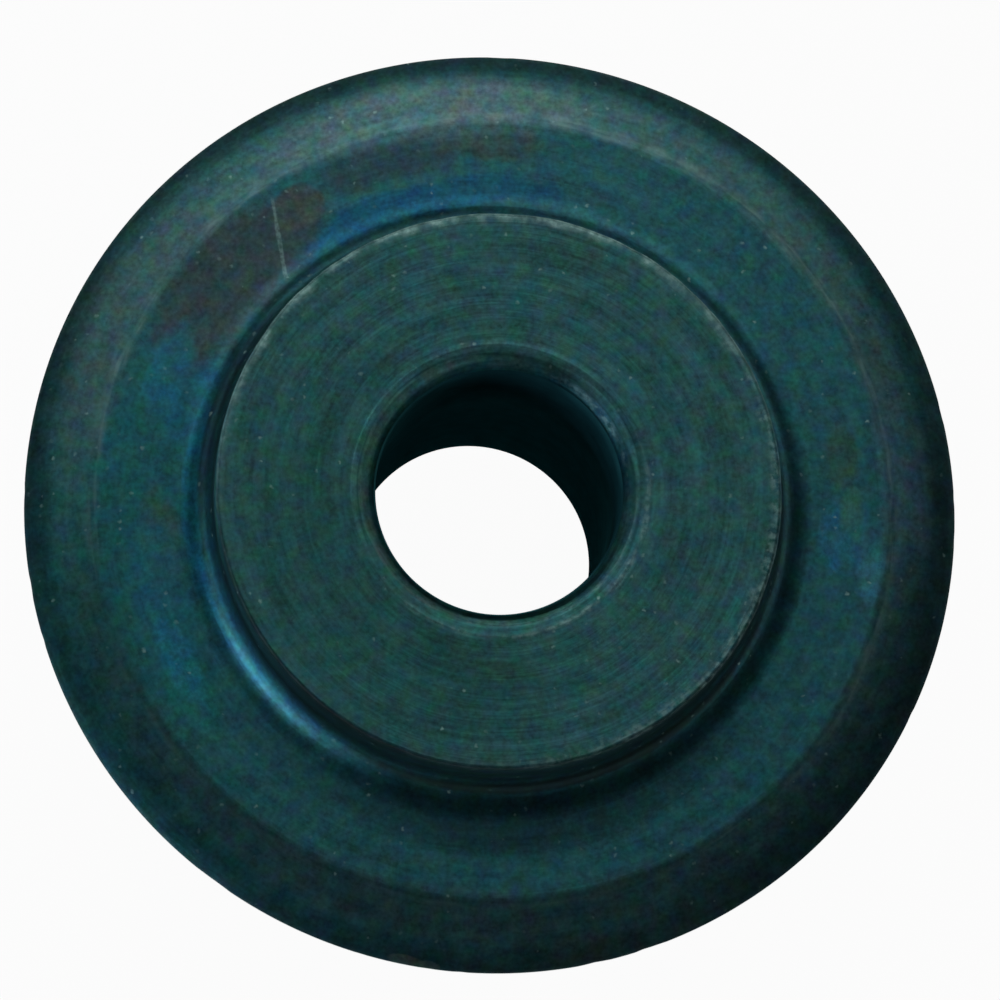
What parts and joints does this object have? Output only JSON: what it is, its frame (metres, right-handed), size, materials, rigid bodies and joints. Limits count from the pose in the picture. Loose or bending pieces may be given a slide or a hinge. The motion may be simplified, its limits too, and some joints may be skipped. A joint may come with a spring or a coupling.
{
  "type": "pipe cutter wheel",
  "caption": "Sharp-edged cutting wheel for a tube cutter: a bored hub with a bevelled disc blade, turned in one piece from blued tool steel.",
  "frame": {"origin": "on the bore's axis, in the plane of the cutting edge", "axes": "+Z along the bore's axis, out of the short end of the hub"},
  "size_m": [0.0184, 0.0184, 0.008],
  "materials": {
    "blued_steel": "turned tool steel with a dark blue-green black-oxide finish and heat tints"
  },
  "bodies": {
    "root": {"cutter_wheel": "blued_steel"}
  },
  "joints": []
}
